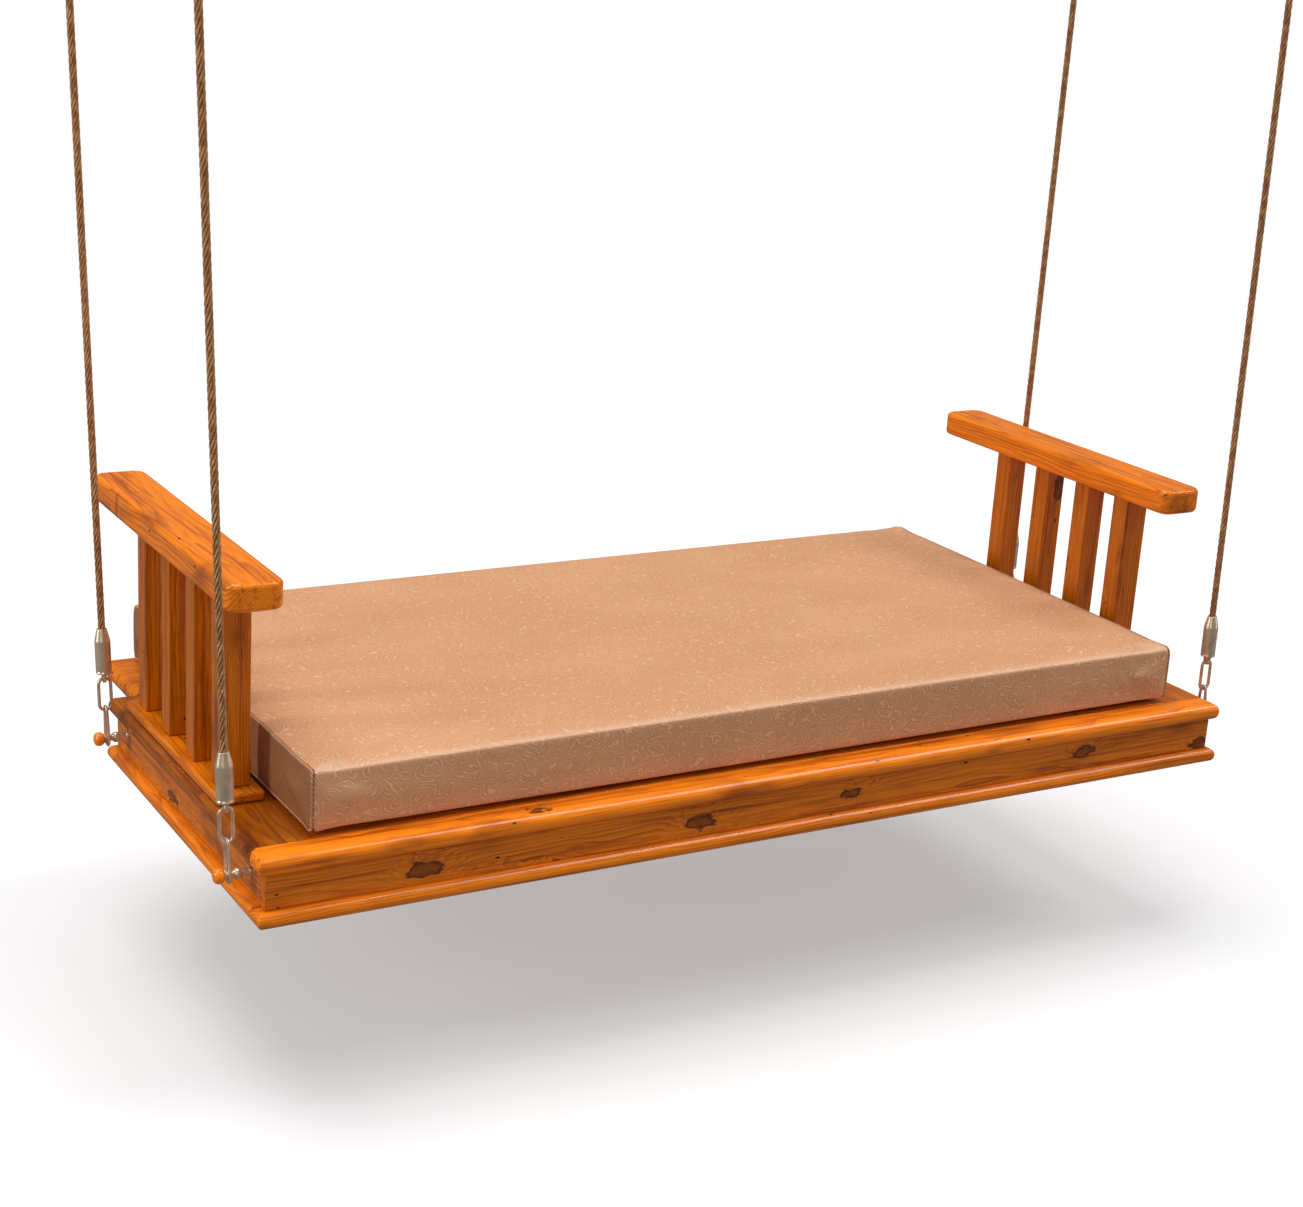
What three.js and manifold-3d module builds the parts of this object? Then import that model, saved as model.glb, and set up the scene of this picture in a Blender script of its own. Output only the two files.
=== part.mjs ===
// Porch swing bed: a wooden deck with two slatted armrests and a box cushion, hung on four wire ropes.
// Millimetres. +X runs along the seat, +Y to the back, +Z up. The origin is in the ceiling plane,
// over the centre of the frame.
import * as THREE from "three";
import { mergeVertices } from "three/addons/utils/BufferGeometryUtils.js";
import Module from "manifold-3d";

const wasm = await Module();
wasm.setup();

// Deck and frame. Heights named "drop" are measured down from the deck's top.
const DECK_TOP = -1700;
const DECK_HALF_LENGTH = 1000;
const DECK_HALF_DEPTH = 395;
const DECK_THICK = 34;
const FRONT_RAIL_WIDTH = 50;
const END_BOARD_WIDTH = 110;
const LEDGE_HALF_LENGTH = 950;
const LEDGE_BACK = 597;
const GAP = 0.3;
const APRON_HALF_LENGTH = 986;
const APRON_HALF_DEPTH = 381;
const APRON_HEIGHT = 60;
const APRON_THICK = 19;
const MOULD_HALF_LENGTH = 1002;
const MOULD_HALF_DEPTH = 397;
const MOULD_THICK = 28;
const MOULD_WIDTH = 45;
const JOIST_X = 450;
const JOIST_WIDTH = 45;
const JOIST_HEIGHT = 40;
const PLANKS = 6;
const GROOVE = 2.5;

// Armrests.
const SILL_INNER = 907;
const SILL_OUTER = 990;
const SILL_FRONT = -172;
const SILL_BACK = 318;
const SILL_THICK = 18;
const SLAT_INNER = 930;
const FRONT_SLAT_INNER = 922;
const SLAT_OUTER = 975;
const SLAT_FRONT = -142;
const SLAT_DEPTH = 44;
const SLAT_PITCH = 128.7;
const SLATS = 4;
const ARM_INNER = 908;
const ARM_OUTER = 1004;
const ARM_FRONT = -262;
const ARM_BACK = 463;
const ARM_UNDER = 358;
const ARM_THICK = 48;

// Cushion.
const CUSHION_HALF_LENGTH = 904;
const CUSHION_FRONT = -350;
const CUSHION_BACK = 575;
const CUSHION_THICK = 122;
const CUSHION_ROUND = 14;

// Hangers. Heights on a hanger are measured up its line from the pin's axis.
const PIN_X = 1024;
const PIN_Y = 318;
const PIN_DROP = 51;
const PIN_R = 5.5;
const BAR_DROP = 44;
const BAR_R = 5;
const ROPE_R = 6.5;
const FERRULE_LENGTH = 85;
const FERRULE_FOOT = 124.5;
const SOCKET_R = 6.8;
const SOCKET_DEPTH = 8;
const LINK_R = 3;
const LINK_HALF_WIDTH = 11;
const LINK_LOW = 55.25;
const LINK_HIGH = 115.25;
const EYE_IN = 6.3;
const EYE_OUT = 15.5;
const SHANK_R = 2.7;
const SHANK_TOP = 61.3;
const SHANK_HALF_WIDTH = 6.5;
const SIDES = 14;
const CORNERS = [
  { key: "fl", side: -1, back: -1, lean: -62 },
  { key: "fr", side: 1, back: -1, lean: -38 },
  { key: "bl", side: -1, back: 1, lean: -62 },
  { key: "br", side: 1, back: 1, lean: 0 },
];

const swing = new THREE.Group();
const colours = { wood: 0xb8651f, leather: 0xb08d6c, steel: 0xb9b4aa, rope: 0x7d6650 };

function add(name, geometry, slot, parent = swing) {
  const material = new THREE.MeshStandardMaterial({ color: colours[slot] });
  const mesh = new THREE.Mesh(geometry, material);
  mesh.name = name;
  parent.add(mesh);
  return mesh;
}

// A closed geometry from points and triangles.
function closed(points, faces) {
  const geometry = new THREE.BufferGeometry();
  geometry.setAttribute("position", new THREE.Float32BufferAttribute(points.flat(), 3));
  geometry.setIndex(faces.flat());
  geometry.computeVertexNormals();
  return geometry;
}

// Joins rings of equal length, counter-clockwise seen from the last one, and closes both ends.
function loft(rings, loop = false) {
  const count = rings[0].length;
  const faces = [];
  const last = loop ? rings.length : rings.length - 1;
  for (let i = 0; i < last; i++) {
    const low = i * count;
    const high = ((i + 1) % rings.length) * count;
    for (let j = 0; j < count; j++) {
      const k = (j + 1) % count;
      faces.push([low + j, low + k, high + k], [low + j, high + k, high + j]);
    }
  }
  const points = rings.flat();
  if (!loop) {
    const top = (rings.length - 1) * count;
    for (let j = 1; j < count - 1; j++) {
      faces.push([0, j + 1, j], [top, top + j, top + j + 1]);
    }
  }
  return closed(points, faces);
}

// A rectangle's outline with rounded corners, counter-clockwise.
function outline(x0, x1, y0, y1, radius) {
  const steps = 3;
  const points = [];
  const centres = [
    [x1 - radius, y0 + radius, -90],
    [x1 - radius, y1 - radius, 0],
    [x0 + radius, y1 - radius, 90],
    [x0 + radius, y0 + radius, 180],
  ];
  for (const [cx, cy, start] of centres) {
    for (let i = 0; i <= steps; i++) {
      const angle = THREE.MathUtils.degToRad(start + (90 * i) / steps);
      points.push([cx + radius * Math.cos(angle), cy + radius * Math.sin(angle)]);
    }
  }
  return points;
}

// A board lying flat, its top and bottom edges rounded on the sides named: l, r, f and b.
function board(x, y, drop, { corner = 2, round = 0, sides = "lrfb" } = {}) {
  const [x0, x1] = x;
  const [y0, y1] = y;
  const high = DECK_TOP - drop[0];
  const low = DECK_TOP - drop[1];
  const ring = (inset, z) => {
    const on = (side) => (sides.includes(side) ? inset : 0);
    const radius = Math.max(0.5, corner - inset);
    const plan = outline(x0 + on("l"), x1 - on("r"), y0 + on("f"), y1 - on("b"), radius);
    return plan.map(([px, py]) => [px, py, z]);
  };
  const rings = [];
  const steps = round > 0 ? 4 : 0;
  for (let i = 0; i <= steps; i++) {
    const angle = steps ? (Math.PI / 2) * (i / steps) : 0;
    rings.push(ring(round * (1 - Math.sin(angle)), low + round * (1 - Math.cos(angle))));
  }
  const bullnose = high - low - 2 * round < 0.01;
  for (let i = bullnose ? 1 : 0; i <= steps; i++) {
    const angle = steps ? (Math.PI / 2) * (i / steps) : 0;
    rings.push(ring(round * (1 - Math.cos(angle)), high - round * (1 - Math.sin(angle))));
  }
  return loft(rings);
}

// A section drawn in (Y, Z) and run along +X.
function alongX(shape, x0, x1) {
  const geometry = new THREE.ExtrudeGeometry(shape, { depth: x1 - x0, bevelEnabled: false });
  const turn = new THREE.Matrix4();
  turn.set(0, 0, 1, x0, 1, 0, 0, 0, 0, 1, 0, 0, 0, 0, 0, 1);
  return geometry.applyMatrix4(turn);
}

// A section drawn in (X, Z) and run from y0 to y1.
function alongY(shape, y0, y1) {
  const geometry = new THREE.ExtrudeGeometry(shape, { depth: y1 - y0, bevelEnabled: false });
  return geometry.rotateX(Math.PI / 2).translate(0, y1, 0);
}

function shapeOf(points) {
  return new THREE.Shape(points.map(([a, b]) => new THREE.Vector2(a, b)));
}

// Turned about the Z axis from [radius, height] pairs that start and end on it.
function turned(profile, sides = SIDES) {
  return new THREE.LatheGeometry(profile.map(([r, z]) => new THREE.Vector2(r, z)), sides).rotateX(Math.PI / 2);
}

function solid(geometry) {
  const bare = new THREE.BufferGeometry();
  const flat = geometry.index ? geometry.toNonIndexed() : geometry;
  bare.setAttribute("position", flat.getAttribute("position"));
  const merged = mergeVertices(bare, 1e-3);
  return new wasm.Manifold(
    new wasm.Mesh({
      numProp: 3,
      vertProperties: new Float32Array(merged.attributes.position.array),
      triVerts: new Uint32Array(merged.index.array),
    }),
  );
}

function geometryOf(body) {
  const mesh = body.getMesh();
  const geometry = new THREE.BufferGeometry();
  geometry.setAttribute("position", new THREE.Float32BufferAttribute(mesh.vertProperties, 3));
  geometry.setIndex(Array.from(mesh.triVerts));
  geometry.computeVertexNormals();
  return geometry;
}

// A bar swept along a flat path of {u, v, wide, thick}; place() puts (u, v, off-plane) in space.
function swept(path, place, loop, sides = 8) {
  const rings = path.map((point, i) => {
    const before = loop ? path[(i - 1 + path.length) % path.length] : path[Math.max(i - 1, 0)];
    const after = loop ? path[(i + 1) % path.length] : path[Math.min(i + 1, path.length - 1)];
    const along = new THREE.Vector2(after.u - before.u, after.v - before.v).normalize();
    const ring = [];
    for (let j = 0; j < sides; j++) {
      const angle = (2 * Math.PI * j) / sides;
      const across = point.wide * Math.cos(angle);
      ring.push(place(point.u - along.y * across, point.v + along.x * across, point.thick * Math.sin(angle)));
    }
    return ring;
  });
  return loft(rings, loop);
}

// ---- deck ----
function deck() {
  const panelX = DECK_HALF_LENGTH - END_BOARD_WIDTH - GAP;
  const railBack = -DECK_HALF_DEPTH + FRONT_RAIL_WIDTH;
  const nose = { corner: 6, round: DECK_THICK / 2 };
  const front = board(
    [-DECK_HALF_LENGTH, DECK_HALF_LENGTH],
    [-DECK_HALF_DEPTH, railBack],
    [0, DECK_THICK],
    { ...nose, sides: "lrf" },
  );
  add("deck_front", front, "wood");
  for (const [key, side] of [["l", -1], ["r", 1]]) {
    const ends = [side * DECK_HALF_LENGTH, side * (DECK_HALF_LENGTH - END_BOARD_WIDTH)].sort((a, b) => a - b);
    const end = board(ends, [railBack + GAP, DECK_HALF_DEPTH], [0, DECK_THICK], { ...nose, sides: key + "b" });
    add("deck_end_" + key, end, "wood");
  }
  add("seat_panel", seatPanel(railBack + GAP, DECK_HALF_DEPTH - GAP, panelX), "wood");
  const ledge = board(
    [-LEDGE_HALF_LENGTH, LEDGE_HALF_LENGTH],
    [DECK_HALF_DEPTH + GAP, LEDGE_BACK],
    [0, DECK_THICK],
    { ...nose, sides: "lrb" },
  );
  add("rear_ledge", ledge, "wood");
}

// The planks under the cushion, glued edge to edge with a groove along each joint.
function seatPanel(y0, y1, halfLength) {
  const pitch = (y1 - y0) / PLANKS;
  const points = [
    [y0, DECK_TOP - DECK_THICK],
    [y1, DECK_TOP - DECK_THICK],
    [y1, DECK_TOP],
  ];
  for (let i = PLANKS - 1; i > 0; i--) {
    const y = y0 + i * pitch;
    points.push([y + GROOVE, DECK_TOP], [y, DECK_TOP - GROOVE], [y - GROOVE, DECK_TOP]);
  }
  points.push([y0, DECK_TOP]);
  return alongX(shapeOf(points), -halfLength, halfLength);
}

// ---- frame under the deck ----
function aprons() {
  const top = DECK_TOP - DECK_THICK - GAP;
  const low = DECK_TOP - DECK_THICK - APRON_HEIGHT;
  const span = [-APRON_HALF_LENGTH, APRON_HALF_LENGTH];
  const drop = [DECK_THICK + GAP, DECK_THICK + APRON_HEIGHT];
  const inner = APRON_HALF_DEPTH - APRON_THICK;
  add("apron_front", board(span, [-APRON_HALF_DEPTH, -inner], drop), "wood");
  const notched = [[-APRON_HALF_LENGTH, low], [APRON_HALF_LENGTH, low], [APRON_HALF_LENGTH, top]];
  for (const x of [JOIST_X, -JOIST_X]) {
    const half = JOIST_WIDTH / 2 + GAP;
    const floor = top - JOIST_HEIGHT - GAP;
    notched.push([x + half, top], [x + half, floor], [x - half, floor], [x - half, top]);
  }
  notched.push([-APRON_HALF_LENGTH, top]);
  add("apron_back", alongY(shapeOf(notched), inner, APRON_HALF_DEPTH), "wood");
  for (const [key, side] of [["l", -1], ["r", 1]]) {
    const reach = inner - GAP;
    const end = shapeOf([[-reach, low], [reach, low], [reach, top], [-reach, top]]);
    for (const back of [-1, 1]) {
      const hole = new THREE.Path();
      hole.absarc(back * PIN_Y, DECK_TOP - PIN_DROP, PIN_R + GAP, 0, 2 * Math.PI, true);
      end.holes.push(hole);
    }
    const faces = [side * (APRON_HALF_LENGTH - APRON_THICK), side * APRON_HALF_LENGTH].sort((a, b) => a - b);
    add("apron_" + key, alongX(end, faces[0], faces[1]), "wood");
  }
}

function mouldings() {
  const drop = [DECK_THICK + APRON_HEIGHT + GAP, DECK_THICK + APRON_HEIGHT + MOULD_THICK];
  const round = (drop[1] - drop[0]) / 2;
  const span = [-MOULD_HALF_LENGTH, MOULD_HALF_LENGTH];
  const inner = MOULD_HALF_DEPTH - MOULD_WIDTH;
  add("moulding_front", board(span, [-MOULD_HALF_DEPTH, -inner], drop, { corner: 6, round, sides: "lrf" }), "wood");
  add("moulding_back", board(span, [inner, MOULD_HALF_DEPTH], drop, { corner: 6, round, sides: "lrb" }), "wood");
  for (const [key, side] of [["l", -1], ["r", 1]]) {
    const x = [side * MOULD_HALF_LENGTH, side * (MOULD_HALF_LENGTH - MOULD_WIDTH)].sort((a, b) => a - b);
    const end = board(x, [-inner + GAP, inner - GAP], drop, { corner: 6, round, sides: key });
    add("moulding_" + key, end, "wood");
  }
}

function joists() {
  const drop = [DECK_THICK + GAP, DECK_THICK + GAP + JOIST_HEIGHT];
  const y = [-APRON_HALF_DEPTH + APRON_THICK + GAP, LEDGE_BACK - 22];
  for (const [key, side] of [["l", -1], ["r", 1]]) {
    const x = [side * JOIST_X - JOIST_WIDTH / 2, side * JOIST_X + JOIST_WIDTH / 2];
    add("joist_" + key, board(x, y, drop, { corner: 1 }), "wood");
  }
}

// ---- armrests ----
function armrest(key, side) {
  const across = (inner, outer) => [side * inner, side * outer].sort((a, b) => a - b);
  const sill = board(across(SILL_INNER, SILL_OUTER), [SILL_FRONT, SILL_BACK], [-GAP - SILL_THICK, -GAP], {
    corner: 6,
    round: 6,
  });
  add("sill_" + key, sill, "wood");
  for (let i = 0; i < SLATS; i++) {
    const front = SLAT_FRONT + i * SLAT_PITCH;
    const slat = board(
      across(i === 0 ? FRONT_SLAT_INNER : SLAT_INNER, SLAT_OUTER),
      [front, front + SLAT_DEPTH],
      [-ARM_UNDER + GAP, -2 * GAP - SILL_THICK],
      { corner: 3 },
    );
    add("slat_" + key + (i + 1), slat, "wood");
  }
  const arm = board(across(ARM_INNER, ARM_OUTER), [ARM_FRONT, ARM_BACK], [-ARM_UNDER - ARM_THICK, -ARM_UNDER], {
    corner: 24,
    round: 9,
  });
  add("arm_board_" + key, arm, "wood");
}

function cushion() {
  const body = board(
    [-CUSHION_HALF_LENGTH, CUSHION_HALF_LENGTH],
    [CUSHION_FRONT, CUSHION_BACK],
    [-CUSHION_THICK - GAP, -GAP],
    { corner: 18, round: CUSHION_ROUND },
  );
  add("cushion", body, "leather");
}

// ---- hangers ----
// A swaged end fitting: bead at the foot, body, cone, and a socket for the rope at its tip.
function fitting(holeRadius, lugRadius, holeBelow) {
  const profile = [
    [0, 0], [10, 0], [13.4, 0.9], [14.6, 3.2], [13.4, 5.6], [13, 6.5], [14, 7.6], [14, 63],
    [8.8, FERRULE_LENGTH], [SOCKET_R, FERRULE_LENGTH],
    [SOCKET_R, FERRULE_LENGTH - SOCKET_DEPTH], [0, FERRULE_LENGTH - SOCKET_DEPTH],
  ];
  const centre = -holeBelow;
  const tab = new THREE.Shape();
  tab.moveTo(lugRadius, 2);
  tab.lineTo(-lugRadius, 2);
  tab.lineTo(-lugRadius, centre);
  tab.absarc(0, centre, lugRadius, Math.PI, 2 * Math.PI, false);
  const hole = new THREE.Path();
  hole.absarc(0, centre, holeRadius, 0, 2 * Math.PI, true);
  tab.holes.push(hole);
  const lug = new THREE.ExtrudeGeometry(tab, { depth: 5, bevelEnabled: false, curveSegments: 10 });
  const turn = new THREE.Matrix4();
  turn.set(0, 0, 1, -2.5, 1, 0, 0, 0, 0, 1, 0, 0, 0, 0, 0, 1);
  lug.applyMatrix4(turn);
  return geometryOf(wasm.Manifold.union(solid(turned(profile)), solid(lug)));
}

// An oval chain link that stands in the XZ plane.
function ovalLink() {
  const path = [];
  const steps = 8;
  const arc = (v, start) => {
    for (let i = 0; i <= steps; i++) {
      const angle = start + (Math.PI * i) / steps;
      const u = LINK_HALF_WIDTH * Math.cos(angle);
      path.push({ u, v: v + LINK_HALF_WIDTH * Math.sin(angle), wide: LINK_R, thick: LINK_R });
    }
  };
  arc(LINK_HIGH - LINK_HALF_WIDTH, 0);
  arc(LINK_LOW + LINK_HALF_WIDTH, Math.PI);
  return swept(path, (u, v, off) => [u, -off, v], true);
}

// A long link in the YZ plane whose lower end is a broad flat eye for the pin.
function eyeLink() {
  const path = [];
  const steps = 8;
  const eyeMid = (EYE_IN + EYE_OUT) / 2;
  const eyeWide = (EYE_OUT - EYE_IN) / 2;
  const arc = (v, radius, start, wide, thick) => {
    for (let i = 0; i <= steps; i++) {
      const angle = start + (Math.PI * i) / steps;
      path.push({ u: radius * Math.cos(angle), v: v + radius * Math.sin(angle), wide, thick });
    }
  };
  const flank = (u0, v0, u1, v1, wide, thick) => path.push({ u: (u0 + u1) / 2, v: (v0 + v1) / 2, wide, thick });
  const high = SHANK_TOP - SHANK_HALF_WIDTH;
  arc(high, SHANK_HALF_WIDTH, 0, SHANK_R, SHANK_R);
  flank(-SHANK_HALF_WIDTH, high, -eyeMid, 0, 3, SHANK_R);
  arc(0, eyeMid, Math.PI, eyeWide, 2.5);
  flank(eyeMid, 0, SHANK_HALF_WIDTH, high, 3, SHANK_R);
  return swept(path, (u, v, off) => [off, u, v], true);
}

// The through pin: inner nut, shaft, ball, eye seat, washer and a stub for the knob, outward along Z.
function pin() {
  const ball = 22;
  const ballR = 9.5;
  const profile = [
    [0, -APRON_THICK - GAP - 9],
    [9, -APRON_THICK - GAP - 9],
    [9, -APRON_THICK - GAP],
    [PIN_R, -APRON_THICK - GAP],
    [PIN_R, GAP],
    [8, GAP],
    [8, 3],
    [6.5, 4],
    [6.5, 14],
  ];
  for (let angle = 45; angle <= 145; angle += 20) {
    const turn = THREE.MathUtils.degToRad(angle);
    profile.push([ballR * Math.sin(turn), ball - ballR * Math.cos(turn)]);
  }
  profile.push([PIN_R, 31], [PIN_R, 41.6], [8.5, 41.6], [8.5, 45], [3.6, 45], [3.6, 54], [0, 54]);
  return turned(profile);
}

function knob() {
  return turned([
    [0, 54.4], [3.9, 54.4], [3.9, 45.4], [8.5, 45.4], [11, 47], [12.4, 50], [12.6, 55], [11.6, 59], [8, 61.6], [0, 62.4],
  ]);
}

// The ceiling plate with a staple whose bar runs along X.
function ceilingPlate() {
  const base = loft([-8, 0].map((z) => outline(-45, 45, -30, 30, 8).map(([x, y]) => [x, y, z])));
  const half = 22;
  const bend = 8;
  const path = [{ u: -half, v: -4 }];
  for (const [u, start] of [[-half + bend, 180], [half - bend, 270]]) {
    for (let i = 0; i <= 4; i++) {
      const angle = THREE.MathUtils.degToRad(start + (90 * i) / 4);
      path.push({ u: u + bend * Math.cos(angle), v: -BAR_DROP + bend + bend * Math.sin(angle) });
    }
  }
  path.push({ u: half, v: -4 });
  const bar = path.map((point) => ({ ...point, wide: BAR_R, thick: BAR_R }));
  const staple = swept(bar, (u, v, off) => [u, -off, v], false, 12);
  return geometryOf(wasm.Manifold.union(solid(base), solid(staple)));
}

function hanger({ key, side, back, lean }) {
  const rise = -BAR_DROP - (DECK_TOP - PIN_DROP);
  const span = Math.hypot(rise, lean);
  const line = new THREE.Group();
  line.position.set(side * PIN_X, back * PIN_Y, DECK_TOP - PIN_DROP);
  line.rotation.y = Math.atan2(lean, rise);
  swing.add(line);

  const topFoot = span - BAR_R - 6.5;
  const ropeLow = FERRULE_FOOT + FERRULE_LENGTH - SOCKET_DEPTH + GAP;
  const ropeHigh = topFoot - FERRULE_LENGTH + SOCKET_DEPTH - GAP;
  const top = fitting(BAR_R + 0.5, 11.5, BAR_R + 6.5);
  top.rotateX(Math.PI).translate(0, 0, topFoot);
  add("top_ferrule_" + key, top, "steel", line);
  add("rope_" + key, turned([[0, ropeLow], [ROPE_R, ropeLow], [ROPE_R, ropeHigh], [0, ropeHigh]]), "rope", line);
  const low = fitting(LINK_R + 1.2, 8.2, FERRULE_FOOT - LINK_HIGH);
  low.translate(0, 0, FERRULE_FOOT);
  add("ferrule_" + key, low, "steel", line);
  add("upper_link_" + key, ovalLink(), "steel", line);
  add("lower_link_" + key, eyeLink(), "steel", line);

  const outward = new THREE.Group();
  outward.position.set(side * APRON_HALF_LENGTH, back * PIN_Y, DECK_TOP - PIN_DROP);
  outward.rotation.y = (side * Math.PI) / 2;
  swing.add(outward);
  add("pin_" + key, pin(), "steel", outward);
  add("knob_" + key, knob(), "wood", outward);

  const plate = add("ceiling_plate_" + key, ceilingPlate(), "steel");
  plate.position.set(side * PIN_X + lean, back * PIN_Y, 0);
}

deck();
aprons();
mouldings();
joists();
armrest("l", -1);
armrest("r", 1);
cushion();
CORNERS.forEach(hanger);

export default swing;
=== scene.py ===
# Porch swing bed: a wooden deck with two slatted armrests and a box cushion, hung on four wire ropes.
# The row frame, in metres: +X runs along the seat, +Y to the back, +Z up. The origin is in the ceiling
# plane, over the centre of the frame. Numbers with _MM, and every local profile, are in millimetres.
import math
import random

import bpy
from mathutils import Matrix, Vector
from mathutils.bvhtree import BVHTree


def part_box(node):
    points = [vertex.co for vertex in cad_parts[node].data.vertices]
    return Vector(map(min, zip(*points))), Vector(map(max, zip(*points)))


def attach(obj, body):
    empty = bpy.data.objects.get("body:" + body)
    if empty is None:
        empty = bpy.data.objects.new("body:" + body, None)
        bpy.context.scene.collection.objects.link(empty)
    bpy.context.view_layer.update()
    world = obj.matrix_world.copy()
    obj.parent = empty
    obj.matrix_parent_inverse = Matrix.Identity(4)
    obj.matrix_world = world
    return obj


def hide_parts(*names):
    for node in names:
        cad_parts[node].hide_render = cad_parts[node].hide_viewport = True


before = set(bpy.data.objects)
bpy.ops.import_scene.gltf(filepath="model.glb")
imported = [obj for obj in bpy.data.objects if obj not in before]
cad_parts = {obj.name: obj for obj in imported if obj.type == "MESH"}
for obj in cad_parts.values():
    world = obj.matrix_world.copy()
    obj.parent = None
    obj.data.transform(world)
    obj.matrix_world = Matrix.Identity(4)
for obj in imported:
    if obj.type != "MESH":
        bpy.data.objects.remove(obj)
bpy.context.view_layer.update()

MM = 0.001
CORNERS = {
    "fl": (-1, -1, -62.0),
    "fr": (1, -1, -38.0),
    "bl": (-1, 1, -62.0),
    "br": (1, 1, 0.0),
}

# Hangers, as in the CAD: heights are measured up each line from its pin's axis.
PIN_X_MM = 1024.0
PIN_Y_MM = 318.0
PIN_Z_MM = -1751.0
BAR_Z_MM = -44.0
APRON_FACE_MM = 986.0
FERRULE_FOOT = 124.5
FERRULE_LENGTH = 85.0
SOCKET_DEPTH = 8.0
ROPE_START = 201.8
ROPE_STOP = 88.8
ROPE_R = 6.5
ROPE_LAY = 85.0
STRANDS = 6
LINK_LOW = 55.25
LINK_HIGH = 115.25

# The joists under the seat, and the notches for them in the back apron, with their play.
JOIST_X_MM = 450.0
NOTCH_HALF_MM = 22.8
NOTCH_DEPTH_MM = 40.6
NOTCH_FRONT_MM = 340.0
NOTCH_BACK_MM = 400.0
JOIST_TOP_MM = -1734.0

# The studio, in metres: levels are the strength of the white room, for light and for reflections.
FLOOR_Z = -2.17
FLOOR_HALF = 60.0
ROOM_LEVEL = 0.30
ROOM_REFLECTED = 0.13

# The cushion, in metres.
CUSHION_VOXEL = 0.009
CUSHION_SWELL = 0.007
CUSHION_CORNER = 0.008
CUSHION_EDGE = 0.007
CUSHION_END_INSET = 0.003
CLOTH_PRESSURE = 4.0
SIM_FRAMES = 14
SEAM_CORNER = 0.014
WELT_R = 0.0021
WELT_SPACING = 0.006
STITCH_INSET = 0.008
STITCH_SPACING = 0.0085


# ---- meshes ----
def mesh_object(name, points, faces, sharp=35.0):
    """A smooth-shaded mesh piece from points in metres, with its edges over that angle kept sharp."""
    mesh = bpy.data.meshes.new(name)
    mesh.from_pydata([tuple(point) for point in points], [], faces)
    mesh.validate()
    obj = bpy.data.objects.new(name, mesh)
    bpy.context.scene.collection.objects.link(obj)
    shade(obj, sharp)
    return obj


def shade(obj, sharp):
    obj.data.shade_smooth()
    obj.data.set_sharp_from_angle(angle=math.radians(sharp))


def flat_faces_flat(obj):
    """Weights the normals by area, so that a rounded edge doesn't shade the flat face beside it."""
    weighted = obj.modifiers.new("normals", "WEIGHTED_NORMAL")
    weighted.keep_sharp = True
    return obj


def applied(obj):
    """Applies the modifiers to the object's own mesh."""
    graph = bpy.context.evaluated_depsgraph_get()
    mesh = bpy.data.meshes.new_from_object(obj.evaluated_get(graph))
    old = obj.data
    obj.modifiers.clear()
    obj.data = mesh
    mesh.name = obj.name
    bpy.data.meshes.remove(old)
    return obj


def combine(obj, other, operation):
    """Joins another closed body to obj, or cuts it out, and removes it."""
    modifier = obj.modifiers.new("combine", "BOOLEAN")
    modifier.operation = operation
    modifier.object = other
    modifier.solver = "EXACT"
    applied(obj)
    bpy.data.objects.remove(other)
    return obj


def loft(rings, loop=False):
    """Points and faces of a body through rings of equal length, counter-clockwise seen from the last one."""
    count = len(rings[0])
    faces = []
    for i in range(len(rings) if loop else len(rings) - 1):
        low = i * count
        high = (i + 1) % len(rings) * count
        for j in range(count):
            k = (j + 1) % count
            faces.append((low + j, low + k, high + k, high + j))
    if not loop:
        faces.append(tuple(reversed(range(count))))
        faces.append(tuple(range((len(rings) - 1) * count, len(rings) * count)))
    return [point for ring in rings for point in ring], faces


def outline(x0, x1, y0, y1, radius, steps):
    """A rectangle with rounded corners, counter-clockwise."""
    points = []
    centres = [
        (x1 - radius, y0 + radius, -90),
        (x1 - radius, y1 - radius, 0),
        (x0 + radius, y1 - radius, 90),
        (x0 + radius, y0 + radius, 180),
    ]
    for cx, cy, start in centres:
        for i in range(steps + 1):
            angle = math.radians(start + 90 * i / steps)
            points.append((cx + radius * math.cos(angle), cy + radius * math.sin(angle)))
    return points


def board_parts(low, high, corner, round_over, sides):
    """Points and faces of a board whose top and bottom edges are rounded on the sides named: l, r, f, b."""
    rings = []
    steps = 9 if round_over > 0.005 else 4
    edge = round_over * 0.9999

    def ring(inset, z):
        x0 = low.x + (inset if "l" in sides else 0)
        x1 = high.x - (inset if "r" in sides else 0)
        y0 = low.y + (inset if "f" in sides else 0)
        y1 = high.y - (inset if "b" in sides else 0)
        radius = max(0.0004, corner - inset)
        rings.append([(x, y, z) for x, y in outline(x0, x1, y0, y1, radius, 6)])

    for i in range(steps + 1):
        angle = math.pi / 2 * i / steps
        ring(edge * (1 - math.sin(angle)), low.z + edge * (1 - math.cos(angle)))
    for i in range(steps + 1):
        angle = math.pi / 2 * i / steps
        ring(edge * (1 - math.cos(angle)), high.z - edge * (1 - math.sin(angle)))
    return loft(rings)


def turned(name, profile, place, sides=48, sharp=35.0):
    """A body turned about local Z from (radius, height) pairs off the axis; flat ends."""
    rings = []
    for radius, z in profile:
        ring = []
        for j in range(sides):
            angle = 2 * math.pi * j / sides
            ring.append(place @ Vector((radius * math.cos(angle), radius * math.sin(angle), z)))
        rings.append(ring)
    points, faces = loft(rings)
    return mesh_object(name, points, faces, sharp)


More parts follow.
